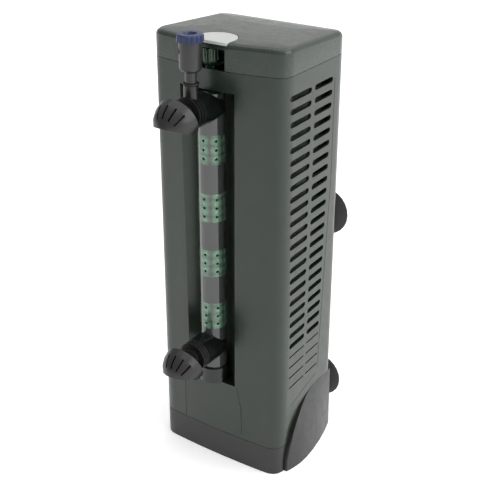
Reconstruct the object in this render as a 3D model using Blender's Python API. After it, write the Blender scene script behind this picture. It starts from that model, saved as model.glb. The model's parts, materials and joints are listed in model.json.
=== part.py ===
"""Submersible canister filter: smoked box on a motor base, with a spray column, two swivelling
duckbill outlets, a venturi air valve, a flow grip, side intake grilles and suction cups.

Units: the driving dimensions below are in millimetres and every helper converts them to metres.
Axes: +Z up, the outlets face -Y, the intake grilles are on -X and +X.
"""
import math

import bmesh
import bpy
from mathutils import Matrix, Vector

MM = 0.001
GAP = 0.3                      # clearance between pieces that touch

# body and base
HEIGHT = 315.0
FRONT_Y = -24.66               # plane of the front corners
DEPTH = 82.0
REAR_Y = FRONT_Y + DEPTH
HALF_FRONT = 52.0
HALF_REAR = 49.0
FRONT_CORNER = 12.0
REAR_CORNER = 11.0
BULGE_FOOT = 1.5               # how far the front bows out at the foot and at the lid
BULGE_LID = 5.0
WALL = 2.0
BASE_TOP = 22.4
LID_SEAM = 297.2
LID_BEVEL = 3.2
CROWN = 4.0                    # the lid falls away this much towards the rear

# front column: spray tube and sockets
COLUMN_X = -4.5
TUBE_Y = FRONT_Y + 2.0
TUBE_R = 9.3
TUBE_BORE = 8.1
TUBE_BOTTOM = 73.0
TUBE_TOP = 281.0
CHANNEL_HALF = 22.5
CHANNEL_DEPTH = 14.0           # behind the plane of the front corners
CHANNEL_LEAD = 4.0             # how far in front of that plane its sides start
CHANNEL_CURVE = 1.5
CHANNEL_BOTTOM = 66.0
CHANNEL_TOP = 283.4
HOLE_R = 1.1
HOLE_GROUPS = 4
HOLE_TOP_Z = 249.6
HOLE_PITCH = 6.2
HOLE_GROUP_PITCH = 40.9
HOLE_ANGLES = (-55.0, 0.0, 55.0)

# outlets
OUTLET_Z = {"upper": 272.0, "lower": 95.2}
SOCKET_R = 10.75
SOCKET_BORE = 7.0
SOCKET_FRONT = FRONT_Y - 17.5
COLLAR_FRONT = FRONT_Y - 24.5
NOZZLE_R = 14.7
NOZZLE_REACH = 18.5
NOZZLE_PITCH = {"upper": 22.0, "lower": 23.0}
BALL_Y = FRONT_Y - 30.9
BALL_R = 7.5

# venturi air valve
VENTURI_Y = FRONT_Y - 18.7
VENTURI_PIPE_R = 4.8
VENTURI_NECK_R = 3.8
VENTURI_BARREL_R = 7.2
KNOB_R = 8.6
KNOB_TEETH = 16

# intake grilles
SLOT_ROWS = 22
SLIT_ROWS = 4
SLOT_PITCH = 8.57
SLOT_TOP_Z = 282.9
SLOT_HEIGHT = 3.8
SLOT_COLUMNS = ((8.0, 34.9, 14.6, 34.9), (38.8, 63.4, 38.0, 55.2))   # y at top row, y at bottom row

# plate in the lid, and the recess under it for the flow grip
PLATE_X = -1.9
PLATE_Y = FRONT_Y + 4.3
PLATE_R = 14.0
PLATE_FRONT = FRONT_Y - 4.6
PLATE_LOW = 313.2
RECESS_R = 12.8
RECESS_WALL = 1.9
RECESS_TOP = 310.4
GRIP_R = 5.5
GRIP_FLUTES = 12

# lid hinge
HINGE_Y = REAR_Y + 3.4
HINGE_Z = LID_SEAM + 1.2
HINGE_ROD_R = 1.5
HINGE_BARREL_R = 3.0

# rear bracket and suction cups
CUP_X = 29.0
CUP_R = 18.0
CUP_Z = {"upper": 171.0, "lower": 28.8}

RAIL_STEM = 3.0
RAIL_HEAD = 6.0
RAIL_LOW = 100.0
RAIL_HIGH = 180.0

# base
CHEEK_INNER = 47.0
CHEEK_SWELL = 7.0
GLAND_R = 4.6
GLAND_X = 0.0
GLAND_Z = 12.0
SCREW_X = 38.0
SCREW_PLACES = ((-SCREW_X, FRONT_Y + 12.0), (SCREW_X, FRONT_Y + 12.0),
                (-SCREW_X, REAR_Y - 12.0), (SCREW_X, REAR_Y - 12.0))

# pump
PUMP_X = COLUMN_X
PUMP_Y = FRONT_Y + 42.0


# ---------------------------------------------------------------- scene and materials

def clear_scene():
    for obj in list(bpy.data.objects):
        bpy.data.objects.remove(obj, do_unlink=True)


def collection(name):
    group = bpy.data.collections.new(name)
    bpy.context.scene.collection.children.link(group)
    return group


clear_scene()
PARTS = collection("canister_filter")
CUTTERS = collection("cutters")
CUTTERS.hide_render = True

FINISHES = {
    "smoked_shell": ((0.10, 0.13, 0.11, 0.45), 0.12, 0.0),
    "smoked_lid": ((0.20, 0.24, 0.20, 0.55), 0.15, 0.0),
    "plate_white": ((0.80, 0.82, 0.80, 1.0), 0.35, 0.0),
    "dark_green": ((0.03, 0.09, 0.05, 1.0), 0.25, 0.0),
    "clear_tube": ((0.22, 0.27, 0.24, 0.5), 0.12, 0.0),
    "charcoal": ((0.045, 0.047, 0.050, 1.0), 0.42, 0.0),
    "black": ((0.012, 0.014, 0.013, 1.0), 0.35, 0.0),
    "grey": ((0.085, 0.087, 0.090, 1.0), 0.45, 0.0),
    "base_grey": ((0.085, 0.090, 0.088, 1.0), 0.42, 0.0),
    "knob_blue": ((0.030, 0.050, 0.190, 1.0), 0.40, 0.0),
    "rubber": ((0.018, 0.018, 0.018, 1.0), 0.65, 0.0),
    "foam": ((0.035, 0.038, 0.040, 1.0), 0.95, 0.0),
    "ceramic": ((0.72, 0.70, 0.64, 1.0), 0.80, 0.0),
    "magnet": ((0.05, 0.05, 0.05, 1.0), 0.50, 0.0),
    "steel": ((0.60, 0.60, 0.60, 1.0), 0.28, 1.0),
}


def material(name):
    found = bpy.data.materials.get(name)
    if found:
        return found
    colour, roughness, metallic = FINISHES[name]
    made = bpy.data.materials.new(name)
    made.use_nodes = True
    shader = made.node_tree.nodes["Principled BSDF"]
    shader.inputs["Base Color"].default_value = colour
    shader.inputs["Roughness"].default_value = roughness
    shader.inputs["Metallic"].default_value = metallic
    shader.inputs["Alpha"].default_value = colour[3]
    made.diffuse_color = colour
    return made


# ---------------------------------------------------------------- mesh helpers

def add_object(name, bm, finish=None, pivot=None):
    """Turn a bmesh (in mm) into an object (in m), with its origin at pivot (mm)."""
    origin = Vector(pivot or (0, 0, 0))
    bmesh.ops.translate(bm, verts=bm.verts, vec=-origin)
    bmesh.ops.scale(bm, verts=bm.verts, vec=(MM, MM, MM))
    bmesh.ops.recalc_face_normals(bm, faces=bm.faces)
    mesh = bpy.data.meshes.new(name)
    bm.to_mesh(mesh)
    bm.free()
    obj = bpy.data.objects.new(name, mesh)
    obj.location = origin * MM
    if finish:
        mesh.materials.append(material(finish))
        PARTS.objects.link(obj)
        mesh.shade_smooth()
        mesh.set_sharp_from_angle(angle=math.radians(35))
    else:
        CUTTERS.objects.link(obj)
        obj.hide_render = True
        obj.display_type = "WIRE"
    return obj


def loft(sections):
    """Closed solid through rings of equal length, the first and last ring capped."""
    bm = bmesh.new()
    rings = [[bm.verts.new(point) for point in ring] for ring in sections]
    count = len(rings[0])
    for low, high in zip(rings, rings[1:]):
        for i in range(count):
            j = (i + 1) % count
            bm.faces.new((low[i], low[j], high[j], high[i]))
    bm.faces.new(rings[0][::-1])
    bm.faces.new(rings[-1])
    return bm


def prism(points, low, high, axis="Z"):
    """Extrude a closed 2D outline between two levels along an axis."""
    place = {
        "Z": lambda a, b, level: (a, b, level),
        "X": lambda a, b, level: (level, a, b),
        "Y": lambda a, b, level: (a, level, b),
    }[axis]
    return loft([[place(a, b, level) for a, b in points] for level in (low, high)])


def box(low, high):
    size = Vector(high) - Vector(low)
    centre = (Vector(high) + Vector(low)) / 2
    bm = bmesh.new()
    bmesh.ops.create_cube(bm, size=1.0)
    bmesh.ops.scale(bm, verts=bm.verts, vec=size)
    bmesh.ops.translate(bm, verts=bm.verts, vec=centre)
    return bm


def rod(radius, start, end, segments=24, end_radius=None):
    """Cylinder or cone between two points."""
    start, end = Vector(start), Vector(end)
    run = end - start
    bm = bmesh.new()
    bmesh.ops.create_cone(bm, cap_ends=True, segments=segments, radius1=radius,
                          radius2=radius if end_radius is None else end_radius, depth=run.length)
    turn = run.to_track_quat("Z", "Y").to_matrix().to_4x4()
    bmesh.ops.transform(bm, verts=bm.verts, matrix=Matrix.Translation((start + end) / 2) @ turn)
    return bm


def turned(profile, centre, axis=(0, 0, 1), segments=32):
    """Turned solid from (radius, height) pairs; radius 0 at both ends closes it, else it is a ring."""
    bm = bmesh.new()
    rings = []
    for radius, height in profile:
        if radius == 0:
            rings.append([bm.verts.new((0, 0, height))])
        else:
            rings.append([bm.verts.new((radius * math.cos(2 * math.pi * i / segments),
                                        radius * math.sin(2 * math.pi * i / segments), height))
                          for i in range(segments)])
    closed = profile[0][0] != 0
    pairs = list(zip(rings, rings[1:])) + ([(rings[-1], rings[0])] if closed else [])
    for low, high in pairs:
        for i in range(segments):
            j = (i + 1) % segments
            face = [low[i % len(low)], low[j % len(low)], high[j % len(high)], high[i % len(high)]]
            bm.faces.new(list(dict.fromkeys(face)))
    turn = Vector(axis).to_track_quat("Z", "Y").to_matrix().to_4x4()
    bmesh.ops.transform(bm, verts=bm.verts, matrix=Matrix.Translation(centre) @ turn)
    return bm


def boolean(obj, cutters, operation="DIFFERENCE"):
    """Apply exact booleans of helper bmeshes to an object."""
    for number, bm in enumerate(cutters):
        helper = add_object(f"{obj.name}_{operation.lower()}_{number}", bm)
        modifier = obj.modifiers.new(operation.title(), "BOOLEAN")
        modifier.operation = operation
        modifier.object = helper
    return obj


def unite(obj, pieces):
    return boolean(obj, pieces, "UNION")


def mirrored(bm, side):
    """Mirror a helper across X when it is meant for the left side."""
    if side < 0:
        bmesh.ops.scale(bm, verts=bm.verts, vec=(-1, 1, 1))
        bmesh.ops.reverse_faces(bm, faces=bm.faces)
    return bm


def spin(bm, degrees, axis, centre=(0, 0, 0)):
    """Turn a mesh about a line through centre, before it is placed."""
    bmesh.ops.rotate(bm, verts=bm.verts, cent=centre, matrix=Matrix.Rotation(math.radians(degrees), 3, axis))
    return bm


def shift(bm, offset):
    bmesh.ops.translate(bm, verts=bm.verts, vec=offset)
    return bm


def merge(parts):
    """One bmesh that holds several closed bodies that do not touch."""
    merged = bmesh.new()
    for bm in parts:
        mesh = bpy.data.meshes.new("merge")
        bm.to_mesh(mesh)
        bm.free()
        merged.from_mesh(mesh)
        bpy.data.meshes.remove(mesh)
    return merged


def bake(obj):
    """Keep the evaluated shape and drop the helpers, so later steps see one plain mesh."""
    bpy.context.view_layer.update()
    graph = bpy.context.evaluated_depsgraph_get()
    mesh = bpy.data.meshes.new_from_object(obj.evaluated_get(graph))
    helpers = [modifier.object for modifier in obj.modifiers if modifier.type == "BOOLEAN"]
    obj.modifiers.clear()
    obj.data = mesh
    for helper in helpers:
        bpy.data.objects.remove(helper, do_unlink=True)
    mesh.shade_smooth()
    mesh.set_sharp_from_angle(angle=math.radians(35))
    return obj


# ---------------------------------------------------------------- outlines

def round_corner(before, corner, after, steps=5):
    """Points of a quadratic arc that replaces a corner."""
    points = []
    for i in range(steps + 1):
        t = i / steps
        points.append(tuple((1 - t) ** 2 * a + 2 * t * (1 - t) * b + t * t * c
                            for a, b, c in zip(before, corner, after)))
    return points


def rounded_polygon(corners, radii, steps=5):
    """Closed outline with every corner rounded by its own radius."""
    points = []
    count = len(corners)
    for i, (corner, radius) in enumerate(zip(corners, radii)):
        if radius == 0:
            points.append(tuple(corner))
            continue
        here = Vector(corner)
        back = (Vector(corners[i - 1]) - here).normalized() * radius
        ahead = (Vector(corners[(i + 1) % count]) - here).normalized() * radius
        points += round_corner(here + back, here, here + ahead, steps)
    return points


def bulge_at(z):
    return BULGE_FOOT + (BULGE_LID - BULGE_FOOT) * (z - BASE_TOP) / (HEIGHT - BASE_TOP)


def body_outline(z, inset=0.0, bulge=None):
    """Plan outline of the casing at a height, anticlockwise from the front left corner."""
    front, rear = HALF_FRONT - inset, HALF_REAR - inset
    y_front, y_rear = FRONT_Y + inset, REAR_Y - inset
    bow = bulge_at(z) if bulge is None else bulge
    front_radius = max(FRONT_CORNER - inset, 2.0)
    rear_radius = max(REAR_CORNER - inset, 2.0)
    corners = [(-front, y_front), (front, y_front), (rear, y_rear), (-rear, y_rear)]
    outline = rounded_polygon(corners, (front_radius, front_radius, rear_radius, rear_radius))
    left_corner, rest = outline[:6], outline[6:]
    span = front - front_radius
    bowed = []
    for step in range(1, 8):
        x = -span + 2 * span * step / 8
        bowed.append((x, y_front - bow * (1 - (x / span) ** 2)))
    return left_corner + bowed + rest


def casing(levels, inset=0.0):
    bm = loft([[(x, y, z) for x, y in body_outline(z, inset)] for z in levels])
    bmesh.ops.triangulate(bm, faces=[face for face in bm.faces if len(face.verts) == 4])
    return bm


def hinge_block(x_from, x_to, first, last, arm):
    """Barrel round the hinge rod, drawn from one angle to another, with an arm that joins the casing."""
    outline = []
    for step in range(11):
        angle = math.radians(first + (last - first) * step / 10)
        outline.append((HINGE_Y + HINGE_BARREL_R * math.cos(angle),
                        HINGE_Z + HINGE_BARREL_R * math.sin(angle)))
    return prism(outline + arm, x_from, x_to, "X")


# ---------------------------------------------------------------- casing

def side_half_width(y):
    """Half width of the casing's side wall at a distance behind the front plane (mm)."""
    return HALF_FRONT + (HALF_REAR - HALF_FRONT) * y / DEPTH


def slot_span(column, row):
    """Front and rear end of a slot in a column, both tapering from top to bottom."""
    top_front, top_rear, low_front, low_rear = SLOT_COLUMNS[column]
    t = row / (SLOT_ROWS + SLIT_ROWS - 1)
    return top_front + (low_front - top_front) * t, top_rear + (low_rear - top_rear) * t


def slot_cutter(side, column, row, height, depth):
    """Slot with round ends through (or into) one side wall."""
    start, end = slot_span(column, row)
    z = SLOT_TOP_Z - SLOT_PITCH * row
    r = height / 2
    outline = []
    for y, first in ((end - r, -90), (start + r, 90)):
        for step in range(4):
            angle = math.radians(first + 60 * step)
            outline.append((FRONT_Y + y + r * math.cos(angle), z + r * math.sin(angle)))
    outer = side * (HALF_FRONT + 4)
    inner = side * (side_half_width((start + end) / 2) - depth)
    return prism(outline, min(outer, inner), max(outer, inner), "X")


def channel_outline(grow=0.0):
    """Plan outline of the front channel: a trough with sloping sides, open towards the front."""
    half, lead = CHANNEL_HALF + grow, CHANNEL_LEAD
    deep = CHANNEL_DEPTH + 1.2 * grow + lead
    points = [(COLUMN_X - half, FRONT_Y - 12), (COLUMN_X + half, FRONT_Y - 12)]
    for step in range(17):
        across = 1 - step / 8
        points.append((COLUMN_X + half * across,
                       FRONT_Y - lead + deep * (1 - abs(across) ** CHANNEL_CURVE)))
    return points


def cheek_outline(grow=0.0):
    """Side view of the base cheek as (y, z): a quarter arch that rises from the foot to the rear."""
    points = [(REAR_Y - 2.0 + grow, -1.0 - grow * 20), (REAR_Y - 2.0 + grow, 50.0 + grow)]
    top_y, foot_y, top_z = FRONT_Y + 58.0, FRONT_Y + 10.0, 53.0
    for step in range(9):
        angle = math.radians(90 + 90 * step / 8)
        points.append((top_y + (top_y - foot_y + grow) * math.cos(angle),
                       (top_z + grow) * math.sin(angle)))
    points.append((foot_y - grow, -1.0 - grow * 20))
    return points


def make_body_shell():
    """Smoked casing: open top, front channel, slotted sides, floor with the pump opening."""
    bottom = BASE_TOP + GAP
    shell = add_object("body_shell", casing((bottom, LID_SEAM - GAP)), "smoked_shell")
    room = add_object("body_room", casing((bottom + 2.5, LID_SEAM + 5), inset=WALL))
    boolean(room, [prism(channel_outline(WALL), CHANNEL_BOTTOM - WALL, CHANNEL_TOP + WALL)])
    bake(room)
    modifier = shell.modifiers.new("Room", "BOOLEAN")
    modifier.object = room
    cuts = [prism(channel_outline(), CHANNEL_BOTTOM, CHANNEL_TOP),
            rod(3.2, (COLUMN_X, TUBE_Y, CHANNEL_TOP - 1), (COLUMN_X, TUBE_Y, CHANNEL_TOP + 4), 16)]
    for side in (-1, 1):
        cuts.append(mirrored(prism(cheek_outline(GAP), CHEEK_INNER - GAP, 70.0, "X"), side))
        slots = [slot_cutter(side, column, row, SLOT_HEIGHT, 4.0)
                 for column in (0, 1) for row in range(SLOT_ROWS)]
        slits = [slot_cutter(side, column, row, 1.2, 0.8)
                 for column in (0, 1) for row in range(SLOT_ROWS, SLOT_ROWS + SLIT_ROWS)]
        cuts.append(merge(slots + slits))
    cuts.append(rod(17.8, (PUMP_X, PUMP_Y, 0), (PUMP_X, PUMP_Y, 30), 32))
    boolean(shell, cuts)
    bake(shell)
    rail_face = REAR_Y - 0.8
    neck, head = REAR_Y + 1.9, REAR_Y + 4.0
    rail = [(-RAIL_STEM, rail_face), (RAIL_STEM, rail_face), (RAIL_STEM, neck), (RAIL_HEAD, neck),
            (RAIL_HEAD, head), (-RAIL_HEAD, head), (-RAIL_HEAD, neck), (-RAIL_STEM, neck)]
    ear_arm = [(REAR_Y - 1.0, LID_SEAM - 0.9), (REAR_Y - 1.0, LID_SEAM - 9.0)]
    ears = [hinge_block(x_from, x_to, -60, 210, ear_arm) for x_from, x_to in ((-15.6, -8.0), (8.0, 15.6))]
    unite(shell, [merge([prism(rail, RAIL_LOW, RAIL_HIGH)] + ears)])
    bake(shell)
    boolean(shell, [rod(HINGE_ROD_R + GAP, (-20, HINGE_Y, HINGE_Z), (20, HINGE_Y, HINGE_Z), 12)])
    return bake(shell)


def make_base_housing():
    """Opaque motor base: an open tub whose side walls are cut away for the cheeks."""
    tub = add_object("base_housing", casing((0.0, BASE_TOP)), "base_grey")
    cuts = [casing((2.5, BASE_TOP + 5), inset=2.4)]
    for side in (-1, 1):
        cuts.append(mirrored(prism(cheek_outline(GAP), CHEEK_INNER - GAP, 70.0, "X"), side))
    cuts.append(rod(GLAND_R + GAP, (GLAND_X, REAR_Y - 6, GLAND_Z), (GLAND_X, REAR_Y + 6, GLAND_Z), 20))
    for x, y in SCREW_PLACES:
        profile = [(0, -1.0), (3.4, -1.0), (3.4, 1.3), (1.8, 1.9), (1.8, 4.0), (0, 4.0)]
        cuts.append(turned(profile, (x, y, 0), segments=12))
    return bake(boolean(tub, cuts))


def make_cheek(side):
    """Arched side cover of the base that swells outwards like a foot."""
    levels = (0.0, 14.0, 28.0, 42.0, 56.0)
    stations = (4.0, 10.0, 16.0, 24.0, 33.0, 44.0, 56.0, 68.0, 81.0)
    rings = []
    for z in levels:
        swell = CHEEK_SWELL * (1 - (z / 56.0) ** 1.5)
        ring = []
        for y in stations:
            reach = 29.0 if y < 33.0 else 50.0
            out = swell * max(0.0, 1 - ((y - 33.0) / reach) ** 2)
            ring.append((side_half_width(y) - (y / DEPTH) * 1.2 + out, FRONT_Y + y, z))
        ring += [(CHEEK_INNER, FRONT_Y + stations[-1], z), (CHEEK_INNER, FRONT_Y + stations[0], z)]
        rings.append(ring)
    name = "base_cheek_right" if side > 0 else "base_cheek_left"
    cheek = add_object(name, mirrored(loft(rings), side), "base_grey")
    boolean(cheek, [mirrored(prism(cheek_outline(), CHEEK_INNER - 2, 70.0, "X"), side)], "INTERSECT")
    return bake(cheek)


def make_gasket():
    """Flat seal between the motor housing and the floor of the shell."""
    profile = [(18.3, BASE_TOP + 0.6 + 2.5 + GAP), (18.3, BASE_TOP + 4.9),
               (21.5, BASE_TOP + 4.9), (21.5, BASE_TOP + 0.6 + 2.5 + GAP)]
    return add_object("base_gasket", turned(profile, (PUMP_X, PUMP_Y, 0), segments=24), "rubber")


def make_base_screws():
    for number, (x, y) in enumerate(SCREW_PLACES, 1):
        profile = [(0, 0.3), (3.0, 0.3), (3.0, 0.9), (1.4, 1.5), (1.4, 12.0), (0, 12.0)]
        add_object(f"base_screw_{number}", turned(profile, (x, y, 0), segments=10), "steel")


def make_cable_gland():
    """Strain relief in the rear wall of the base, where the cord would enter."""
    profile = [(2.4, 0.0), (GLAND_R, 0.0), (GLAND_R, 6.0), (GLAND_R + 1.6, 6.3), (GLAND_R + 1.6, 8.0),
               (GLAND_R - 0.6, 8.4), (GLAND_R - 1.4, 13.0), (2.4, 13.0)]
    bm = turned(profile, (GLAND_X, REAR_Y - 6.0, GLAND_Z), (0, 1, 0), 16)
    return add_object("cable_gland", bm, "rubber")


# ---------------------------------------------------------------- lid

def lid_solid(inset, top, low):
    """Lid-shaped solid: straight wall, rounded shoulder and a crown that falls to the rear."""
    rings = []
    for step_in, z in ((0.0, low), (0.0, top - LID_BEVEL), (0.9, top - 1.2), (LID_BEVEL - 0.6, top),
                       (14.0, top + 0.15), (27.0, top + 0.2)):
        ring = []
        for x, y in body_outline(z, inset + step_in):
            back = max(0.0, (y - FRONT_Y - 30.0) / (DEPTH - 30.0))
            fall = CROWN * back * back if z > low else 0.0
            ring.append((x, y, z - fall))
        rings.append(ring)
    return loft(rings)



def u_outline(radius, front):
    """U shape about the plate's centre: straight sides, round back, open side to the front."""
    back = []
    for i in range(17):
        angle = math.pi * i / 16
        back.append((PLATE_X + radius * math.cos(angle), PLATE_Y + radius * math.sin(angle)))
    return [(PLATE_X + radius, front)] + back + [(PLATE_X - radius, front)]


def make_lid():
    """Smoked lid with a walled recess for the flow grip, a finger lip and its hinge barrels."""
    lid = add_object("lid", lid_solid(0.0, HEIGHT - 0.2, LID_SEAM), "smoked_lid")
    lip = prism([(FRONT_Y + 14, LID_SEAM), (FRONT_Y + 52, LID_SEAM), (FRONT_Y + 50, LID_SEAM + 2.4),
                 (FRONT_Y + 16, LID_SEAM + 2.4)], -HALF_FRONT - 1.6, -HALF_FRONT + 2.0, "X")
    lid_arm = [(REAR_Y - 1.0, LID_SEAM + 4.0), (REAR_Y - 1.0, LID_SEAM + 0.6)]
    arms = [hinge_block(x_from, x_to, -140, 90, lid_arm) for x_from, x_to in ((-30.0, -16.0), (16.0, 30.0))]
    unite(lid, [merge([lip] + arms)])
    bake(lid)
    boolean(lid, [lid_solid(WALL, HEIGHT - 2.4, LID_SEAM - 5)])
    bake(lid)
    unite(lid, [prism(u_outline(RECESS_R + RECESS_WALL, FRONT_Y - 3.2), LID_SEAM, PLATE_LOW)])
    bake(lid)
    recess = prism(u_outline(RECESS_R, FRONT_Y - 12), LID_SEAM - 5, RECESS_TOP)
    pocket = prism(u_outline(PLATE_R + 0.4, FRONT_Y - 12), PLATE_LOW - GAP, HEIGHT + 5)
    bore = rod(HINGE_ROD_R + GAP, (-34, HINGE_Y, HINGE_Z), (34, HINGE_Y, HINGE_Z), 12)
    boolean(lid, [recess, pocket, bore])
    return bake(lid)


def make_lid_plate():
    """Light plate set into the top of the lid above the recess."""
    return add_object("lid_plate", prism(u_outline(PLATE_R, PLATE_FRONT), PLATE_LOW, HEIGHT), "plate_white")


def make_hinge_rod():
    bm = rod(HINGE_ROD_R, (-33, HINGE_Y, HINGE_Z), (33, HINGE_Y, HINGE_Z), 12)
    return add_object("lid_hinge_rod", bm, "steel")


# ---------------------------------------------------------------- flow grip and spray column

def make_flow_grip():
    """Fluted grip and the shaft that turns the diverter tube."""
    profile = [(0, 283.0), (2.6, 283.0), (2.6, 291.0), (3.0, 291.6), (3.0, 297.6), (4.4, 299.0),
               (5.2, 300.4), (GRIP_R, 301.6), (GRIP_R, 309.2), (0, 309.2)]
    grip = add_object("flow_grip", turned(profile, (COLUMN_X, TUBE_Y, 0), segments=32), "dark_green",
                      (COLUMN_X, TUBE_Y, 300.0))
    flutes = []
    for i in range(GRIP_FLUTES):
        angle = 2 * math.pi * i / GRIP_FLUTES
        x, y = COLUMN_X + (GRIP_R + 0.4) * math.cos(angle), TUBE_Y + (GRIP_R + 0.4) * math.sin(angle)
        flutes.append(rod(0.8, (x, y, 298.0), (x, y, 308.2), 6))
    boolean(grip, [merge(flutes)])
    return bake(grip)


def make_diverter():
    """Inner tube turned by the flow grip; its windows line up with one group of outlets at a time."""
    low, high, outer, inner = TUBE_BOTTOM + 2, TUBE_TOP - 0.6, TUBE_BORE - GAP, TUBE_BORE - 1.7
    profile = [(inner, low), (outer, low), (outer, high), (5.2, high + 2.2), (2.9, high + 2.2),
               (2.9, high + 0.8), (inner, high - 1.0)]
    tube = add_object("diverter_tube", turned(profile, (COLUMN_X, TUBE_Y, 0), segments=24), "dark_green",
                      (COLUMN_X, TUBE_Y, 180.0))
    cuts = []
    for turn, z, tall in ((-40.0, OUTLET_Z["upper"], 12.0), (40.0, OUTLET_Z["lower"], 12.0),
                          (0.0, 247.0, 22.0), (0.0, 206.0, 22.0), (0.0, 165.0, 22.0), (0.0, 124.0, 22.0)):
        slot = spin(box((-4.0, -12.0, z - tall / 2), (4.0, -2.0, z + tall / 2)), turn, "Z")
        cuts.append(shift(slot, (COLUMN_X, TUBE_Y, 0)))
    return bake(boolean(tube, cuts))


def make_spray_tube():
    """Clear column with four groups of spray holes and a port behind each outlet socket."""
    low, high = TUBE_BOTTOM, TUBE_TOP
    profile = [(TUBE_BORE, low), (TUBE_R, low), (TUBE_R, high), (TUBE_BORE, high)]
    tube = add_object("spray_tube", turned(profile, (COLUMN_X, TUBE_Y, 0), segments=24), "clear_tube")
    holes = []
    for group in range(HOLE_GROUPS):
        for row in range(3):
            z = HOLE_TOP_Z - group * HOLE_GROUP_PITCH - row * HOLE_PITCH
            for turn in HOLE_ANGLES:
                angle = math.radians(turn - 90)
                way = Vector((math.cos(angle), math.sin(angle), 0))
                centre = Vector((COLUMN_X, TUBE_Y, z))
                holes.append(rod(HOLE_R, centre + way * (TUBE_BORE - 2), centre + way * (TUBE_R + 2), 6))
    ports = [rod(5.5, (COLUMN_X, TUBE_Y - 5, z), (COLUMN_X, TUBE_Y - 14, z), 12) for z in OUTLET_Z.values()]
    return bake(boolean(tube, [merge(holes), merge(ports)]))


def make_tube_foot():
    """Elbow that carries water from the pump chamber to the foot of the column."""
    low = CHANNEL_BOTTOM + GAP
    profile = [(5.0, low), (11.0, low), (11.0, low + 3.0), (TUBE_R + 1.6, low + 4.0), (TUBE_R + 1.6, 78.0),
               (TUBE_R + GAP, 78.0), (TUBE_R + GAP, TUBE_BOTTOM - GAP), (5.0, TUBE_BOTTOM - GAP)]
    return add_object("tube_foot", turned(profile, (COLUMN_X, TUBE_Y, 0), segments=28), "black")


# ---------------------------------------------------------------- outlets

def make_socket(level):
    """Black tee socket that saddles the spray tube."""
    z = OUTLET_Z[level]
    barrel = rod(SOCKET_R, (COLUMN_X, TUBE_Y, z), (COLUMN_X, SOCKET_FRONT, z), 28)
    socket = add_object(f"{level}_socket", barrel, "black")
    cuts = [rod(SOCKET_BORE, (COLUMN_X, TUBE_Y - 4, z), (COLUMN_X, SOCKET_FRONT - 3, z), 24),
            rod(TUBE_R + GAP, (COLUMN_X, TUBE_Y, z - 20), (COLUMN_X, TUBE_Y, z + 20), 28)]
    return bake(boolean(socket, cuts))


def ring_profile(radius, bore, start, end):
    """Collar profile along the outlet axis with three raised rings."""
    step = (end - start) / 5
    points = [(bore, start)]
    for i in range(5):
        r = radius if i % 2 == 0 else radius - 0.9
        points += [(r, start + i * step), (r, start + (i + 1) * step)]
    points.append((bore, end))
    return points


def make_collar(level):
    """Ribbed collar in front of a socket; the upper one carries the venturi pipe."""
    z = OUTLET_Z[level]
    length = SOCKET_FRONT - GAP - COLLAR_FRONT
    bm = turned(ring_profile(SOCKET_R, 6.4, 0.0, length), (COLUMN_X, SOCKET_FRONT - GAP, z), (0, -1, 0), 24)
    collar = add_object(f"{level}_collar", bm, "charcoal")
    if level == "upper":
        pipe = rod(VENTURI_PIPE_R, (COLUMN_X, VENTURI_Y, z + 7.5), (COLUMN_X, VENTURI_Y, 289.6), 24)
        unite(collar, [pipe])
        bake(collar)
        behind = rod(SOCKET_R + GAP, (COLUMN_X, SOCKET_FRONT + 9, z),
                     (COLUMN_X, SOCKET_FRONT - GAP + 0.05, z), 28)
        boolean(collar, [behind, rod(3.0, (COLUMN_X, VENTURI_Y, z), (COLUMN_X, VENTURI_Y, 300), 16),
                         rod(6.4, (COLUMN_X, SOCKET_FRONT + 4, z), (COLUMN_X, COLLAR_FRONT - 4, z), 24)])
    return bake(collar)


def make_seal(level):
    """Ring seal between a socket and its collar."""
    z = OUTLET_Z[level]
    centre = (COLUMN_X, SOCKET_FRONT + 2.2, z)
    profile = [(5.75 - 0.9 * math.cos(math.pi * i / 3), 0.9 * math.sin(math.pi * i / 3)) for i in range(6)]
    return add_object(f"{level}_seal", turned(profile, centre, (0, -1, 0), 16), "rubber")


def make_ball_joint(level):
    """Turning neck with the hollow ball that the nozzle tilts on."""
    z = OUTLET_Z[level]
    start = SOCKET_FRONT - 2.0
    reach = start - BALL_Y
    profile = [(3.6, 0.0), (6.1, 0.0), (6.1, 5.0), (5.0, 5.3)]
    for i in range(6):
        angle = math.radians(-48 + 94 * i / 5)
        profile.append((BALL_R * math.cos(angle), reach + BALL_R * math.sin(angle)))
    profile.append((3.6, reach + BALL_R * math.sin(math.radians(46))))
    bm = turned(profile, (COLUMN_X, start, z), (0, -1, 0), 20)
    return add_object(f"{level}_ball_joint", bm, "charcoal", (COLUMN_X, start, z))


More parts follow.
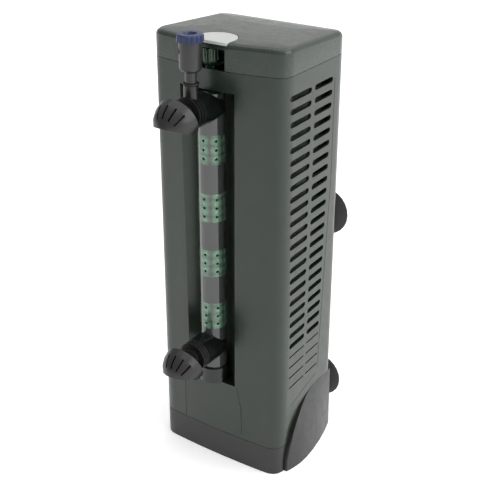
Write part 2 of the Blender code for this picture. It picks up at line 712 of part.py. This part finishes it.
def make_nozzle(level):
    """Duckbill outlet: a half dome with a slanted underside, finger grooves and a wide mouth."""
    arc = [(math.sin(math.pi / 2 * i / 5), math.cos(math.pi / 2 * i / 5)) for i in range(6)]
    profile = [(0, -2.5), (8.8, -2.5), (NOZZLE_R - 0.7, 0.8)]
    profile += [(NOZZLE_R * c, 1.0 + NOZZLE_REACH * s) for s, c in arc[:-1]] + [(0, 1.0 + NOZZLE_REACH)]
    dome = turned(profile, (0, 0, 0), (0, -1, 0), 28)
    nozzle = add_object(f"{level}_nozzle", dome, "charcoal")
    slant = shift(spin(box((-30, -30, -30), (30, 30, 0)), -42, "X"), (0, 1.0, -12.6))
    cavity = turned([(0, -(BALL_R + GAP))] +
                    [((BALL_R + GAP) * math.cos(math.radians(a)), (BALL_R + GAP) * math.sin(math.radians(a)))
                     for a in range(-60, 61, 20)] + [(0, BALL_R + GAP)], (0, 0, 0), (0, -1, 0), 20)
    mouth = box((-8.0, -15.0, -16.0), (8.0, -5.5, 0.0))
    throat = rod(7.1, (0, 6, 0), (0, -1, 0), 20)
    grooves = []
    for turn in (-52, -26, 0, 26, 52):
        groove = spin(box((-0.55, -14.0, 9.6), (0.55, -4.5, 20.0)), 26, "X", (0, -4.5, 10.4))
        grooves.append(spin(groove, turn, "Y"))
    boolean(nozzle, [slant, cavity, throat, mouth, merge(grooves)])
    bake(nozzle)
    nozzle.location = Vector((COLUMN_X, BALL_Y, OUTLET_Z[level])) * MM
    nozzle.rotation_euler = (math.radians(NOZZLE_PITCH[level]), 0, 0)
    return nozzle


# ---------------------------------------------------------------- venturi air valve

def make_venturi():
    """Pipe ring, hollow barrel with its air hole, and the ribbed knob that opens it."""
    centre = (COLUMN_X, VENTURI_Y, 0)
    ring = [(3.2, 289.9), (5.2, 289.9), (5.2, 291.1), (3.2, 291.1)]
    add_object("venturi_ring", turned(ring, centre, segments=20), "rubber")
    wide, neck = VENTURI_BARREL_R, VENTURI_NECK_R
    profile = [(2.6, 291.4), (neck, 291.4), (neck, 297.6), (wide - 1.2, 298.8), (wide, 300.5), (wide, 316.8),
               (wide - 2.0, 316.8), (wide - 2.0, 302.0), (2.6, 300.0)]
    barrel = add_object("venturi_barrel", turned(profile, centre, segments=24), "grey")
    hole = rod(2.0, (COLUMN_X - 4, VENTURI_Y - 4, 311), (COLUMN_X - 12, VENTURI_Y - 12, 311), 16)
    bake(boolean(barrel, [hole]))
    stem = wide - 2.0 - GAP
    profile = [(0, 304.0), (2.4, 304.0), (stem, 308.5), (stem, 317.1), (KNOB_R, 317.1), (KNOB_R, 320.8),
               (KNOB_R - 1.0, 321.8), (4.4, 321.8), (3.8, 320.6), (0, 320.6)]
    knob = add_object("venturi_knob", turned(profile, centre, segments=32), "knob_blue",
                      (COLUMN_X, VENTURI_Y, 320.0))
    cuts = []
    for i in range(KNOB_TEETH):
        angle = 2 * math.pi * i / KNOB_TEETH
        x = COLUMN_X + (KNOB_R + 0.5) * math.cos(angle)
        y = VENTURI_Y + (KNOB_R + 0.5) * math.sin(angle)
        cuts.append(rod(1.15, (x, y, 316.9), (x, y, 323.0), 6))
    bake(boolean(knob, [merge(cuts)]))


# ---------------------------------------------------------------- pump

def make_pump():
    """Sealed motor can, rotor, impeller, shaft and bushes, and the chamber cover above them."""
    centre = (PUMP_X, PUMP_Y, 0)
    can = [(0, 3.0), (17.5, 3.0), (17.5, 40.0), (8.4, 40.0), (8.4, 7.0), (0, 7.0)]
    add_object("motor_housing", turned(can, centre, segments=24), "black")
    bush = [(1.5, 7.3), (3.6, 7.3), (3.6, 9.8), (1.5, 9.8)]
    add_object("shaft_bush_lower", turned(bush, centre, segments=16), "rubber")
    shaft = [(0, 7.4), (1.2, 7.4), (1.2, 53.0), (0, 53.0)]
    add_object("pump_shaft", turned(shaft, centre, segments=12), "ceramic")
    magnet = [(1.5, 10.4), (7.9, 10.4), (7.9, 39.0), (1.5, 39.0)]
    add_object("rotor_magnet", turned(magnet, centre, segments=24), "magnet", (PUMP_X, PUMP_Y, 25.0))
    hub = [(1.5, 39.4), (5.4, 39.4), (5.4, 41.2), (14.0, 41.2), (14.0, 42.4), (4.2, 42.4), (4.2, 49.6),
           (1.5, 49.6)]
    impeller = add_object("impeller", turned(hub, centre, segments=24), "grey", (PUMP_X, PUMP_Y, 45.0))
    for i in range(6):
        blade = spin(box((3.6, -0.7, 41.8), (13.4, 0.7, 48.6)), 60 * i, "Z")
        unite(impeller, [shift(blade, (PUMP_X, PUMP_Y, 0))])
        bake(impeller)
    bush = [(1.5, 50.0), (3.6, 50.0), (3.6, 52.6), (1.5, 52.6)]
    add_object("shaft_bush_upper", turned(bush, centre, segments=16), "rubber")
    cover = [(15.6, 40.3), (17.5, 40.3), (17.5, 54.6), (16.0, 56.0), (9.0, 56.0), (9.0, 53.6), (15.0, 53.6),
             (15.6, 53.0)]
    chamber = add_object("impeller_cover", turned(cover, centre, segments=24), "black")
    hub_ring = [(3.9, 50.0), (5.2, 50.0), (5.2, 55.0), (3.9, 55.0)]
    unite(chamber, [turned(hub_ring, centre, segments=12)])
    for turn in (45, 165, 285):
        arm = spin(box((4.4, -0.9, 53.7), (12.0, 0.9, 55.2)), turn, "Z")
        unite(chamber, [shift(arm, (PUMP_X, PUMP_Y, 0))])
    bake(chamber)


# ---------------------------------------------------------------- media cartridge

def make_cartridge():
    """Open frame with a lifting handle, a foam pad against each grille and ceramic media between."""
    low, high = 60.0, 290.0
    y_low, y_high = FRONT_Y + 22.0, REAR_Y - WALL - 3.5
    half = 43.0
    frame = add_object("cartridge_frame", box((-half, y_low, low), (half, y_high, high)), "charcoal")
    cuts = [box((x - reach, y_low + 2.0, low + 2.0), (x + reach, y_high - 2.0, high + 5.0))
            for x, reach in ((-24.0, 17.0), (0.0, 5.0), (24.0, 17.0))]
    for x in (-44.0, 44.0):
        for z in (76.0, 147.0, 218.0):
            cuts.append(box((x - 6.0, y_low + 5.0, z), (x + 6.0, y_high - 5.0, z + 62.0)))
    cuts.append(box((-30.0, y_low - 5, 80.0), (30.0, y_low + 5, 260.0)))
    boolean(frame, cuts)
    bake(frame)
    for side, name in ((-1, "left"), (1, "right")):
        pad = box((side * 24.0 - 16.6, y_low + 2.4, low + 2.4),
                  (side * 24.0 + 16.6, y_high - 2.4, high - 8.0))
        add_object(f"foam_pad_{name}", pad, "foam")
    media = box((-4.6, y_low + 2.4, low + 2.4), (4.6, y_high - 2.4, high - 60.0))
    add_object("ceramic_media", media, "ceramic")


# ---------------------------------------------------------------- rear bracket

def make_bracket():
    """Wall plate that the casing hangs on: a groove for the tee rail and two legs past the gland."""
    front, back = REAR_Y + GAP, REAR_Y + 6.0
    plate_outline = rounded_polygon([(-38, 20), (38, 20), (38, 188), (-38, 188)], (8, 8, 8, 8), 4)
    plate = add_object("bracket_plate", prism(plate_outline, front, back, "Y"), "charcoal")
    cuts = [box((-RAIL_STEM - GAP, front - 1, RAIL_LOW - GAP), (RAIL_STEM + GAP, front + 2.6, 200)),
            box((-RAIL_HEAD - GAP, front + 1.6 - GAP, RAIL_LOW - GAP),
                (RAIL_HEAD + GAP, front + 3.9 + GAP, 200)),
            box((-12, front - 2, 10), (12, back + 2, 90))]
    for z in CUP_Z.values():
        for side in (-1, 1):
            cuts.append(rod(4.0, (side * CUP_X, back - 4.0, z), (side * CUP_X, back + 2, z), 20))
    return bake(boolean(plate, cuts))


def make_suction_cup(level, side):
    """Rubber cup with a knob that plugs into the bracket plate."""
    name = f"suction_cup_{level}_{'right' if side > 0 else 'left'}"
    profile = [(0, 0.0), (3.7, 0.0), (3.7, 4.3), (6.5, 4.6), (6.5, 6.4), (12.0, 8.2), (CUP_R - 0.6, 13.2),
               (CUP_R, 14.2), (CUP_R - 0.4, 14.8), (CUP_R - 1.6, 14.6), (11.0, 11.6), (0, 10.4)]
    centre = (side * CUP_X, REAR_Y + 2.3, CUP_Z[level])
    return add_object(name, turned(profile, centre, (0, 1, 0), 24), "rubber")


def make_all():
    make_body_shell()
    make_base_housing()
    make_cheek(-1)
    make_cheek(1)
    make_gasket()
    make_base_screws()
    make_cable_gland()
    make_lid()
    make_hinge_rod()
    make_lid_plate()
    make_flow_grip()
    make_diverter()
    make_spray_tube()
    make_tube_foot()
    for level in OUTLET_Z:
        make_socket(level)
        make_collar(level)
        make_seal(level)
        make_ball_joint(level)
        make_nozzle(level)
    make_venturi()
    make_pump()
    make_cartridge()
    make_bracket()
    for level in CUP_Z:
        for side in (-1, 1):
            make_suction_cup(level, side)


make_all()
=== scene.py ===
"""Looks for the canister filter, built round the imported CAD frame.

Everything is in metres in the CAD's own frame: +Z up, the duckbill outlets face -Y, the intake
grilles are on -X and +X and the suction cups face +Y.
"""

import json
import math
import random

import bmesh
import bpy
from mathutils import Matrix, Vector, noise


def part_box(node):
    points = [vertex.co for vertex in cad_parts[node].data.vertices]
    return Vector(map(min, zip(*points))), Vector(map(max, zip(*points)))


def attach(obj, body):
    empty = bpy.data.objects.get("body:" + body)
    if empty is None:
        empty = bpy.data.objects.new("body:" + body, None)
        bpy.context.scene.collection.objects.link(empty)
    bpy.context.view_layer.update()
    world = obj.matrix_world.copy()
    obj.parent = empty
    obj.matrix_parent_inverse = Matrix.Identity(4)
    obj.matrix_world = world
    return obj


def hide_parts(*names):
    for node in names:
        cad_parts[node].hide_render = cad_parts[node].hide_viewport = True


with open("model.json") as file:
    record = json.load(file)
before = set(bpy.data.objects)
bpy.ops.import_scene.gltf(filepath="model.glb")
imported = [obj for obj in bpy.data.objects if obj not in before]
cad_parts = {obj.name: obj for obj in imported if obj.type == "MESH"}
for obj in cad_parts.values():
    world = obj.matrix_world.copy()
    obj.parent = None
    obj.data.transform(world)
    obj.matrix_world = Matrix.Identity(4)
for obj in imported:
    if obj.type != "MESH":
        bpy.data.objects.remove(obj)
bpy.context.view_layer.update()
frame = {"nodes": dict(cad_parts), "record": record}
scene = bpy.context.scene
nodes = frame["nodes"]
MM = 0.001

FRONT_Y = -24.66          # plane of the casing's front corners, mm
COLUMN_X = -4.5
TUBE_Y = FRONT_Y + 2.0
HOLE_TOP = 249.6          # highest spray hole, mm
HOLE_PITCH = 6.2
GROUP_PITCH = 40.9
HOLE_ANGLE = 55.0
TUBE_R = 9.3
HALF_FRONT = 52.0         # half width of the casing at its front corners
SIDE_TAPER = 3.0 / 82.0   # how fast each side draws in towards the rear
FRONT_SPAN = 40.0         # half width of the bowed part of the front
BOW_FOOT = 1.5            # how far the front bows out at the foot of the shell
BOW_RISE = 3.5            # how much further it bows out at the top
SHELL_FOOT = 22.4
SHELL_RISE = 292.6
SEAM_WIDTH = 0.6
SEAM_PROUD = 0.10
SEAM_SUNK = 0.25
SEAM_REAR = 66.4          # side seam behind the grilles, from the front plane
SEAM_REAR_FOOT = 57.8
SEAM_BEND_HIGH = 214.0
SEAM_BEND_LOW = 82.0
RING_PITCH = 8.2          # spacing of the ceramic rings
RING_MARGIN = 4.2
RING_SHIFT = 0.2
FOAM_SHRINK = 0.985       # soft pad against the CAD block that it replaces
FOAM_PINCH = 0.045        # share by which the edges of the pad are drawn in
PINCH_FROM = 0.75         # where that starts, on the way from mid-face to edge
RIPPLE_SCALE = 0.16
RIPPLE_HEIGHT = 0.35
RIPPLE_LIMIT = 0.2
SHARP_ANGLE = math.radians(40)
GROUP_REACH = 1.62        # hole pitches from the middle of a group of spray holes to its end
PAINTED_GLOW_REACH = 0.0052       # painted green glow round a spray hole: metres from the middle of the hole
PAINTED_GLOW_LOW = 0.105          # and the heights it stays between, in metres
PAINTED_GLOW_HIGH = 0.262

BRIGHT_SIDE = (0.75, 0.42, 0.5)   # direction the studio is brightest towards
WORLD_DIM = 0.40
WORLD_BRIGHT = 1.05
WORLD_REACH = 0.9         # facing at which the world is at its dimmest or brightest
KEY_POWER = 14
TOP_POWER = 24
FLOOR_GLOW = 0.30
NOISE_LOW = 0.3           # a noise texture mostly stays between these
NOISE_HIGH = 0.7
MIX_FACTOR, MIX_A, MIX_B, MIX_RESULT = 0, 6, 7, 2   # colour sockets of the mix node


# ---------------------------------------------------------------- camera, light, floor

def make_camera():
    data = bpy.data.cameras.new("camera")
    data.sensor_width = 36.0
    data.lens = 74.44
    camera = bpy.data.objects.new("camera", data)
    camera.location = (0.35875, -0.51661, 0.46514)
    camera.rotation_euler = (math.radians(64.7), 0.0, math.radians(34.6))
    scene.collection.objects.link(camera)
    scene.camera = camera


def area_light(name, place, target, size, power):
    data = bpy.data.lights.new(name, "AREA")
    data.shape = "RECTANGLE"
    data.size, data.size_y = size
    data.energy = power
    lamp = bpy.data.objects.new(name, data)
    lamp.location = place
    lamp.rotation_euler = (Vector(target) - Vector(place)).to_track_quat("-Z", "Y").to_euler()
    scene.collection.objects.link(lamp)


def make_stage():
    scene.view_settings.view_transform = "Standard"
    world = bpy.data.worlds.new("studio")
    scene.world = world
    world.use_nodes = True
    tree = world.node_tree
    place = tree.nodes.new("ShaderNodeTexCoord")
    facing = tree.nodes.new("ShaderNodeVectorMath")
    facing.operation = "DOT_PRODUCT"
    facing.inputs[1].default_value = BRIGHT_SIDE
    level = tree.nodes.new("ShaderNodeMapRange")
    level.inputs["From Min"].default_value = -WORLD_REACH
    level.inputs["From Max"].default_value = WORLD_REACH
    level.inputs["To Min"].default_value = WORLD_DIM
    level.inputs["To Max"].default_value = WORLD_BRIGHT
    tree.nodes["Background"].inputs["Color"].default_value = (1, 1, 1, 1)
    tree.links.new(place.outputs["Generated"], facing.inputs[0])
    tree.links.new(facing.outputs["Value"], level.inputs["Value"])
    tree.links.new(level.outputs["Result"], tree.nodes["Background"].inputs["Strength"])
    mesh = bpy.data.meshes.new("floor")
    half = 6.0
    mesh.from_pydata([(-half, -half, 0), (half, -half, 0), (half, half, 0), (-half, half, 0)], [],
                     [(0, 1, 2, 3)])
    floor = bpy.data.objects.new("floor", mesh)
    scene.collection.objects.link(floor)
    pale = bpy.data.materials.new("floor_white")
    pale.use_nodes = True
    shader = pale.node_tree.nodes["Principled BSDF"]
    shader.inputs["Base Color"].default_value = (0.93, 0.93, 0.93, 1)
    shader.inputs["Roughness"].default_value = 0.9
    shader.inputs["Emission Color"].default_value = (1, 1, 1, 1)
    shader.inputs["Emission Strength"].default_value = FLOOR_GLOW
    mesh.materials.append(pale)
    area_light("key", (1.5, 0.3, 0.9), (0, 0, 0.15), (1.4, 1.4), KEY_POWER)
    area_light("top", (0.2, 0.5, 2.2), (0, 0.1, 0.0), (3.0, 3.0), TOP_POWER)


# ---------------------------------------------------------------- materials

class Graph:
    """Small helper for building a shader from nodes."""

    def __init__(self, name):
        self.material = bpy.data.materials.new(name)
        self.material.use_nodes = True
        self.tree = self.material.node_tree
        self.shader = self.tree.nodes["Principled BSDF"]
        self.place = self.add("ShaderNodeTexCoord").outputs["Object"]

    def add(self, kind, **values):
        node = self.tree.nodes.new(kind)
        for key, value in values.items():
            setattr(node, key, value)
        return node

    def link(self, source, target):
        self.tree.links.new(source, target)

    def noise(self, scale, detail=4.0, roughness=0.55, stretch=None):
        place = self.place
        if stretch:
            mapping = self.add("ShaderNodeMapping")
            mapping.inputs["Scale"].default_value = stretch
            self.link(place, mapping.inputs["Vector"])
            place = mapping.outputs["Vector"]
        texture = self.add("ShaderNodeTexNoise")
        texture.inputs["Scale"].default_value = scale
        texture.inputs["Detail"].default_value = detail
        texture.inputs["Roughness"].default_value = roughness
        self.link(place, texture.inputs["Vector"])
        return texture.outputs["Fac"]

    def ramp(self, source, *stops):
        """Colour from a two-stop ramp."""
        node = self.add("ShaderNodeValToRGB")
        for element, (position, colour) in zip(node.color_ramp.elements, stops):
            element.position = position
            element.color = (*colour, 1.0)
        self.link(source, node.inputs["Fac"])
        return node.outputs["Color"]

    def mix(self, factor, source, colour):
        node = self.add("ShaderNodeMix", data_type="RGBA")
        self.link(factor, node.inputs[MIX_FACTOR])
        self.link(source, node.inputs[MIX_A])
        node.inputs[MIX_B].default_value = (*colour, 1.0)
        return node.outputs[MIX_RESULT]

    def math(self, operation, first, second=0.0, clamp=False):
        node = self.add("ShaderNodeMath", operation=operation, use_clamp=clamp)
        for socket, value in zip(node.inputs, (first, second)):
            if hasattr(value, "is_output"):
                self.link(value, socket)
            else:
                socket.default_value = value
        return node.outputs["Value"]

    def spread(self, source, low, high):
        node = self.add("ShaderNodeMapRange")
        node.inputs["From Min"].default_value = NOISE_LOW
        node.inputs["From Max"].default_value = NOISE_HIGH
        node.inputs["To Min"].default_value = low
        node.inputs["To Max"].default_value = high
        self.link(source, node.inputs["Value"])
        return node.outputs["Result"]

    def bump(self, height, strength, distance):
        node = self.add("ShaderNodeBump")
        node.inputs["Strength"].default_value = strength
        node.inputs["Distance"].default_value = distance
        self.link(height, node.inputs["Height"])
        self.link(node.outputs["Normal"], self.shader.inputs["Normal"])


def scaled(colour, factor):
    return tuple(min(1.0, c * factor) for c in colour)


def moulded(name, colour, rough=0.4, vary=0.18, grain=900.0, relief=0.00003, transmission=0.0,
            ior=1.5, coat=0.0):
    """Injection-moulded plastic: faint colour drift, flow streaks and fine grain."""
    g = Graph(name)
    drift = g.noise(22.0, 5.0)
    base = g.ramp(drift, (0.32, scaled(colour, 1 - vary)), (0.68, scaled(colour, 1 + vary)))
    streak = g.noise(60.0, 3.0, stretch=(1.0, 1.0, 0.12))
    base = g.mix(g.spread(streak, 0.0, 0.16), base, scaled(colour, 1.45))
    g.link(base, g.shader.inputs["Base Color"])
    wear = g.noise(140.0, 6.0, 0.65)
    g.link(g.spread(wear, max(0.03, rough - 0.06), rough + 0.07), g.shader.inputs["Roughness"])
    g.shader.inputs["IOR"].default_value = ior
    g.shader.inputs["Transmission Weight"].default_value = transmission
    g.shader.inputs["Coat Weight"].default_value = coat
    g.shader.inputs["Coat Roughness"].default_value = 0.12
    g.bump(g.noise(grain, 3.0), 0.35, relief)
    return g.material


def spray_clear(name):
    """Smoked tube wall, with a painted mint green glow round each spray hole."""
    g = Graph(name)
    split = g.add("ShaderNodeSeparateXYZ")
    g.link(g.place, split.inputs["Vector"])
    height = split.outputs["Z"]
    row = g.math("PINGPONG", g.math("SUBTRACT", height, HOLE_TOP * MM), HOLE_PITCH * MM / 2)
    middle = (HOLE_TOP - HOLE_PITCH) * MM
    group = g.math("PINGPONG", g.math("SUBTRACT", height, middle), GROUP_PITCH * MM / 2)
    across = g.math("SUBTRACT", split.outputs["X"], COLUMN_X * MM)
    ahead = g.math("SUBTRACT", TUBE_Y * MM, split.outputs["Y"])
    turn = g.math("PINGPONG", g.math("ARCTAN2", across, ahead), math.radians(HOLE_ANGLE) / 2)
    along = g.math("MULTIPLY", turn, TUBE_R * MM)
    squares = g.math("ADD", g.math("MULTIPLY", row, row), g.math("MULTIPLY", along, along))
    apart = g.math("SQRT", squares)
    near = g.math("SUBTRACT", 1.0, g.math("DIVIDE", apart, PAINTED_GLOW_REACH), clamp=True)
    inside = g.math("LESS_THAN", group, (HOLE_PITCH * GROUP_REACH) * MM)
    above = g.math("GREATER_THAN", height, PAINTED_GLOW_LOW)
    span = g.math("MULTIPLY", above, g.math("LESS_THAN", height, PAINTED_GLOW_HIGH))
    painted_glow = g.math("MULTIPLY", g.math("MULTIPLY", inside, span), near)
    painted_glow = g.math("MULTIPLY", painted_glow, g.spread(g.noise(620.0, 3.0, 0.6), 0.35, 1.1), clamp=True)
    base = g.ramp(g.noise(24.0, 4.0), (0.3, (0.040, 0.046, 0.042)), (0.7, (0.062, 0.068, 0.064)))
    # Painted glow: mint green mixed into the smoked colour round each spray hole.
    g.link(g.mix(painted_glow, base, (0.24, 0.55, 0.33)), g.shader.inputs["Base Color"])
    g.link(g.spread(g.noise(160.0, 5.0), 0.08, 0.20), g.shader.inputs["Roughness"])
    g.shader.inputs["Transmission Weight"].default_value = 0.35
    g.shader.inputs["Coat Weight"].default_value = 0.6
    g.shader.inputs["Coat Roughness"].default_value = 0.05
    g.bump(g.noise(700.0, 3.0), 0.3, 0.00003)
    return g.material


def open_cell_foam(name):
    g = Graph(name)
    cells = g.add("ShaderNodeTexVoronoi", feature="DISTANCE_TO_EDGE")
    cells.inputs["Scale"].default_value = 620.0
    g.link(g.place, cells.inputs["Vector"])
    pores = cells.outputs["Distance"]
    # Cells darker than the strands between them: painted shade in the pores of the dark foam.
    g.link(g.ramp(pores, (0.0, (0.060, 0.064, 0.066)), (0.35, (0.006, 0.006, 0.007))),
           g.shader.inputs["Base Color"])
    g.link(g.spread(g.noise(300.0), 0.85, 1.0), g.shader.inputs["Roughness"])
    g.bump(pores, 0.9, 0.0006)
    return g.material


def fired_ceramic(name):
    g = Graph(name)
    g.link(g.ramp(g.noise(260.0, 6.0), (0.3, (0.60, 0.56, 0.48)), (0.7, (0.80, 0.77, 0.70))),
           g.shader.inputs["Base Color"])
    g.link(g.spread(g.noise(500.0), 0.75, 0.95), g.shader.inputs["Roughness"])
    g.bump(g.noise(1500.0, 5.0), 0.7, 0.0001)
    return g.material


def brushed(name):
    g = Graph(name)
    grain = g.noise(900.0, 4.0, stretch=(0.06, 1.0, 1.0))
    g.link(g.ramp(grain, (0.3, (0.45, 0.45, 0.46)), (0.7, (0.66, 0.66, 0.67))),
           g.shader.inputs["Base Color"])
    g.link(g.spread(grain, 0.22, 0.40), g.shader.inputs["Roughness"])
    g.shader.inputs["Metallic"].default_value = 1.0
    g.bump(grain, 0.3, 0.00002)
    return g.material


FINISHES = {
    "smoked_shell": moulded("smoked_shell", (0.014, 0.028, 0.017), 0.34, vary=0.10,
                            transmission=0.40, ior=1.49, coat=0.10),
    "smoked_lid": moulded("smoked_lid", (0.015, 0.027, 0.017), 0.26, vary=0.05,
                          transmission=0.15, ior=1.49, coat=0.15),
    "plate_white": moulded("plate_white", (0.46, 0.47, 0.46), 0.35, vary=0.04),
    "dark_green": moulded("dark_green", (0.012, 0.045, 0.020), 0.18, transmission=0.3),
    "clear_tube": spray_clear("clear_tube"),
    "charcoal": moulded("charcoal", (0.007, 0.007, 0.0075), 0.30),
    "black": moulded("black", (0.004, 0.006, 0.005), 0.20),
    "grey": moulded("grey", (0.018, 0.018, 0.019), 0.34),
    "base_grey": moulded("base_grey", (0.009, 0.009, 0.0095), 0.38, grain=1400.0, relief=0.00006),
    "knob_blue": moulded("knob_blue", (0.006, 0.016, 0.070), 0.34),
    "rubber": moulded("rubber", (0.006, 0.006, 0.006), 0.60, grain=1100.0, relief=0.00005),
    "foam": open_cell_foam("foam"),
    "ceramic": fired_ceramic("ceramic"),
    "magnet": moulded("magnet", (0.03, 0.03, 0.03), 0.3),
    "steel": brushed("steel"),
}


def dress_cad():
    """Give every CAD node its finish, with softened edges that catch the light."""
    round_by = {"body_shell": 0.45, "lid": 0.5, "base_housing": 0.4, "base_cheek_left": 0.6,
                "base_cheek_right": 0.6, "bracket_plate": 0.6, "cartridge_frame": 0.4}
    for row in frame["record"]["subparts"]:
        node = nodes[row["node"]]
        node.data.materials.clear()
        node.data.materials.append(FINISHES[row["material_slot"]])
        for face in node.data.polygons:
            face.material_index = 0
        weld = node.modifiers.new("Weld", "WELD")
        weld.merge_threshold = 0.00001
        bevel = node.modifiers.new("Edges", "BEVEL")
        bevel.width = round_by.get(row["node"], 0.2) * MM
        bevel.segments = 2
        bevel.limit_method = "ANGLE"
        bevel.angle_limit = SHARP_ANGLE
        node.data.shade_smooth()
        node.data.set_sharp_from_angle(angle=SHARP_ANGLE)
        node.modifiers.new("Normals", "WEIGHTED_NORMAL").keep_sharp = True


# ---------------------------------------------------------------- mesh helpers

def piece(name, bm, body, slot):
    """Turn a bmesh in mm into a named piece in metres that rides on a CAD body."""
    bmesh.ops.scale(bm, verts=bm.verts, vec=(MM, MM, MM))
    bmesh.ops.recalc_face_normals(bm, faces=bm.faces)
    mesh = bpy.data.meshes.new(name)
    bm.to_mesh(mesh)
    bm.free()
    obj = bpy.data.objects.new(name, mesh)
    scene.collection.objects.link(obj)
    mesh.shade_smooth()
    mesh.set_sharp_from_angle(angle=SHARP_ANGLE)
    mesh.materials.append(FINISHES[slot])
    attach(obj, body)
    return obj


# ---------------------------------------------------------------- parting lines

def ribbon(bm, points, outward):
    """Closed strip along a line of points, sunk slightly into the surface it lies on."""
    loops = []
    for i, point in enumerate(points):
        along = (points[min(i + 1, len(points) - 1)] - points[max(i - 1, 0)]).normalized()
        across = outward.cross(along).normalized() * SEAM_WIDTH / 2
        corners = [across + outward * SEAM_PROUD, -across + outward * SEAM_PROUD,
                   -across - outward * SEAM_SUNK, across - outward * SEAM_SUNK]
        loops.append([bm.verts.new(point + corner) for corner in corners])
    for first, second in zip(loops, loops[1:]):
        for i in range(4):
            j = (i + 1) % 4
            bm.faces.new((first[i], first[j], second[j], second[i]))
    bm.faces.new(loops[0][::-1])
    bm.faces.new(loops[-1])


def make_side_seams():
    """Line behind the grilles and the line above the foot, on both sides."""
    rear = ((SEAM_REAR, 283.0), (SEAM_REAR, SEAM_BEND_HIGH), (SEAM_REAR_FOOT, SEAM_BEND_LOW),
            (SEAM_REAR_FOOT, 63.5))
    foot = ((53.7, 60.2), (17.0, 51.8))
    for side, label in ((-1, "left"), (1, "right")):
        outward = Vector((side, SIDE_TAPER, 0)).normalized()
        bm = bmesh.new()
        for line in (rear, foot):
            points = []
            for y, z in line:
                points.append(Vector((side * (HALF_FRONT - y * SIDE_TAPER), FRONT_Y + y, z)))
            ribbon(bm, points, outward)
        piece(f"side_seam_{label}", bm, "casing", "black")


def make_front_seams():
    """Short lines on the front below the channel."""
    for label, line in (("left", ((-29.5, 54.0), (-29.5, 24.0))),
                        ("right", ((17.4, 65.0), (20.6, 50.0), (21.6, 27.0)))):
        points = []
        for x, z in line:
            middle = BOW_FOOT + BOW_RISE * (z - SHELL_FOOT) / SHELL_RISE
            bow = middle * (1 - (x / FRONT_SPAN) ** 2)
            points.append(Vector((x, FRONT_Y - bow, z)))
        bm = bmesh.new()
        ribbon(bm, points, Vector((0, -1, 0)))
        piece(f"front_seam_{label}", bm, "casing", "black")


# ---------------------------------------------------------------- media inside

def make_foam(side, node):
    """Soft foam pad: a faint ripple over its faces, and its edges drawn in."""
    low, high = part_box(node)
    low, high = low / MM, high / MM
    centre, half = (low + high) / 2, (high - low) / 2
    bm = bmesh.new()
    bmesh.ops.create_cube(bm, size=2.0)
    bmesh.ops.subdivide_edges(bm, edges=bm.edges, cuts=15, use_grid_fill=True)
    for vert in bm.verts:
        p = vert.co.copy()
        edge = sorted(abs(c) for c in p)[1]
        pull = 1.0 - FOAM_PINCH * max(0.0, edge - PINCH_FROM) / (1 - PINCH_FROM)
        place = Vector((p.x * half.x, p.y * half.y, p.z * half.z)) * pull * FOAM_SHRINK
        ripple = noise.noise(place * RIPPLE_SCALE + Vector((side * 9.0, 0, 0))) * RIPPLE_HEIGHT
        vert.co = centre + place + p.normalized() * min(ripple, RIPPLE_LIMIT)
    obj = piece(f"foam_pad_soft_{node.split('_')[-1]}", bm, "casing", "foam")
    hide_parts(node)


def make_rings():
    """Ceramic rings, packed loosely in the middle compartment."""
    rng = random.Random(7)
    low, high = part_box("ceramic_media")
    low, high = low / MM, high / MM
    outer, inner, reach, sides = 3.9, 1.9, 3.2, 12
    bm = bmesh.new()
    rows = int((high.z - low.z) / RING_PITCH)
    columns = int((high.y - low.y) / RING_PITCH)
    for row in range(rows):
        for column in range(columns):
            y = low.y + RING_MARGIN + column * RING_PITCH + rng.uniform(-RING_SHIFT, RING_SHIFT)
            z = low.z + RING_MARGIN + row * RING_PITCH + rng.uniform(-RING_SHIFT, RING_SHIFT)
            turn = Matrix.Rotation(rng.uniform(0, math.pi), 3, "X")
            loops = []
            for radius, along in ((outer, -reach), (outer, reach), (inner, reach), (inner, -reach)):
                loop = []
                for i in range(sides):
                    angle = 2 * math.pi * i / sides
                    spot = Vector((radius * math.cos(angle), radius * math.sin(angle), along))
                    loop.append(bm.verts.new(turn @ spot + Vector((0, y, z))))
                loops.append(loop)
            for first, second in zip(loops, loops[1:] + loops[:1]):
                for i in range(sides):
                    j = (i + 1) % sides
                    bm.faces.new((first[i], first[j], second[j], second[i]))
    obj = piece("ceramic_rings", bm, "casing", "ceramic")
    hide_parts("ceramic_media")


make_camera()
make_stage()
dress_cad()
make_side_seams()
make_front_seams()
make_foam(-1, "foam_pad_left")
make_foam(1, "foam_pad_right")
make_rings()
